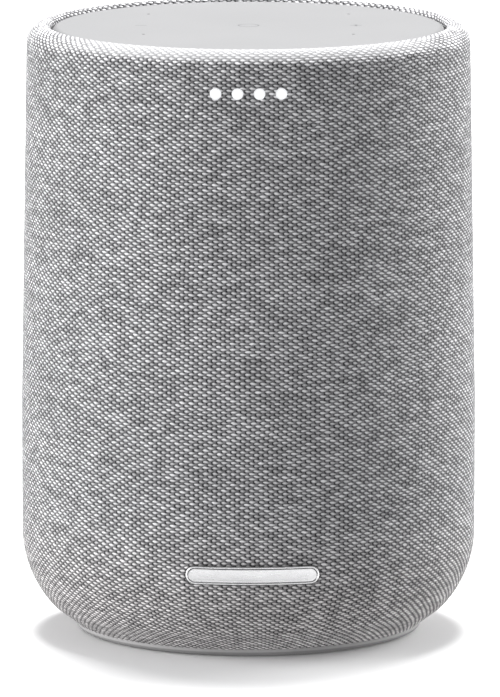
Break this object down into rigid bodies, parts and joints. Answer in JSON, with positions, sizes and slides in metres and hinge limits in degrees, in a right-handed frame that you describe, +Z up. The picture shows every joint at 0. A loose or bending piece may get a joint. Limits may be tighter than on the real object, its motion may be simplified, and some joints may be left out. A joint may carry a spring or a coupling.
{
  "type": "smart speaker",
  "caption": "Compact cylindrical smart speaker wrapped in light grey woven fabric, with a flat silver touch top, indicator dots on the front and a narrow base.",
  "frame": {"origin": "centre of the footprint, on the surface the speaker stands on", "axes": "+Z up, -Y out of the front where the indicator dots and the badge are, +X to the right seen from the front"},
  "size_m": [0.14, 0.141, 0.188],
  "materials": {
    "cover_fabric": "light grey melange woven speaker fabric",
    "frame_black": "black moulded plastic",
    "panel_silver": "satin silver painted touch panel",
    "seal_rubber": "soft black seal",
    "pcb_green": "green solder mask board with parts",
    "pcb_black": "black solder mask board",
    "mic_metal": "small pressed metal can",
    "gasket_foam": "closed-cell foam gasket",
    "light_guide": "milky white light guide, lit",
    "badge_metal": "satin silver pill badge with a bright rim",
    "steel_zinc": "zinc-plated steel",
    "cabinet_abs": "dark grey ABS",
    "basket_steel": "black painted pressed steel",
    "plate_steel": "plated steel plate",
    "ferrite": "sintered ferrite magnet",
    "neodymium": "nickel-plated magnet",
    "cone_paper": "black coated paper pulp",
    "surround_rubber": "black butyl rubber",
    "spider_cloth": "resin-treated woven cloth",
    "coil_copper": "enamelled copper winding",
    "dome_silk": "coated silk dome",
    "foam_grey": "open-cell damping foam",
    "heat_alu": "extruded aluminium",
    "antenna_pcb": "small antenna board",
    "control_plastic": "grey moulded plastic",
    "button_plastic": "grey moulded button",
    "switch_body": "black switch housing",
    "base_grey": "grey moulded base plastic",
    "foot_rubber": "dark grey silicone foot",
    "inlet_black": "black inlet housing",
    "pin_brass": "plated brass pins",
    "transformer_core": "ferrite core with yellow-taped winding",
    "cap_sleeve": "sleeved aluminium can"
  },
  "bodies": {
    "speaker_body": {"fabric_cover": "cover_fabric", "grille_frame": "frame_black", "top_panel": "panel_silver", "top_seal_ring": "seal_rubber", "touch_board": "pcb_green", "microphones": "mic_metal", "mic_gaskets": "gasket_foam", "top_carrier": "cabinet_abs", "top_carrier_screws": "steel_zinc", "led_board": "pcb_black", "led_light_guide": "light_guide", "badge_plate": "badge_metal", "badge_push_nuts": "steel_zinc", "cabinet_shell": "cabinet_abs", "cabinet_lid": "cabinet_abs", "cabinet_gasket": "gasket_foam", "cabinet_screws": "steel_zinc", "damping_foam": "foam_grey", "woofer_basket": "basket_steel", "woofer_top_plate": "plate_steel", "woofer_magnet": "ferrite", "woofer_yoke": "plate_steel", "woofer_surround": "surround_rubber", "woofer_spider": "spider_cloth", "woofer_gasket": "gasket_foam", "woofer_screws": "steel_zinc", "woofer_terminals": "pin_brass", "tweeter_faceplate": "cabinet_abs", "tweeter_screws": "steel_zinc", "tweeter_gasket": "gasket_foam", "tweeter_yoke": "plate_steel", "tweeter_magnet": "neodymium", "tweeter_pole_plate": "plate_steel", "tweeter_surround": "surround_rubber", "main_board": "pcb_green", "heat_sink": "heat_alu", "wifi_antennas": "antenna_pcb", "main_board_screws": "steel_zinc", "rear_control_bezel": "control_plastic", "tact_switches": "switch_body", "button_board": "pcb_green", "rubber_foot": "foot_rubber", "base_ring": "base_grey", "base_plate": "base_grey", "base_screws": "steel_zinc", "ac_inlet": "inlet_black", "inlet_pins": "pin_brass", "service_port": "steel_zinc", "power_supply_board": "pcb_green", "power_transformer": "transformer_core", "power_capacitors": "cap_sleeve"},
    "woofer_moving_assembly": {"woofer_cone": "cone_paper", "woofer_dust_cap": "cone_paper", "woofer_voice_coil": "coil_copper"},
    "tweeter_moving_assembly": {"tweeter_dome": "dome_silk", "tweeter_voice_coil": "coil_copper"},
    "mic_mute_key": {"mic_mute_button": "button_plastic", "mute_switch_plunger": "switch_body"},
    "pairing_key": {"pairing_button": "button_plastic", "pairing_switch_plunger": "switch_body"}
  },
  "joints": [
    {"name": "woofer_stroke", "type": "slide", "parent": "speaker_body", "child": "woofer_moving_assembly", "axis": [0, -1, 0], "range_m": [-0.003, 0.003], "stiffness_N_per_m": 1200, "deforming": ["woofer_surround", "woofer_spider"]},
    {"name": "tweeter_stroke", "type": "slide", "parent": "speaker_body", "child": "tweeter_moving_assembly", "axis": [0, -1, 0], "range_m": [-0.0003, 0.0003], "stiffness_N_per_m": 1500, "deforming": ["tweeter_surround"]},
    {"name": "mic_mute_press", "type": "slide", "parent": "speaker_body", "child": "mic_mute_key", "axis": [0, -1, 0], "range_m": [0, 0.0006], "stiffness_N_per_m": 2500},
    {"name": "pairing_press", "type": "slide", "parent": "speaker_body", "child": "pairing_key", "axis": [0, -1, 0], "range_m": [0, 0.0006], "stiffness_N_per_m": 2500}
  ]
}
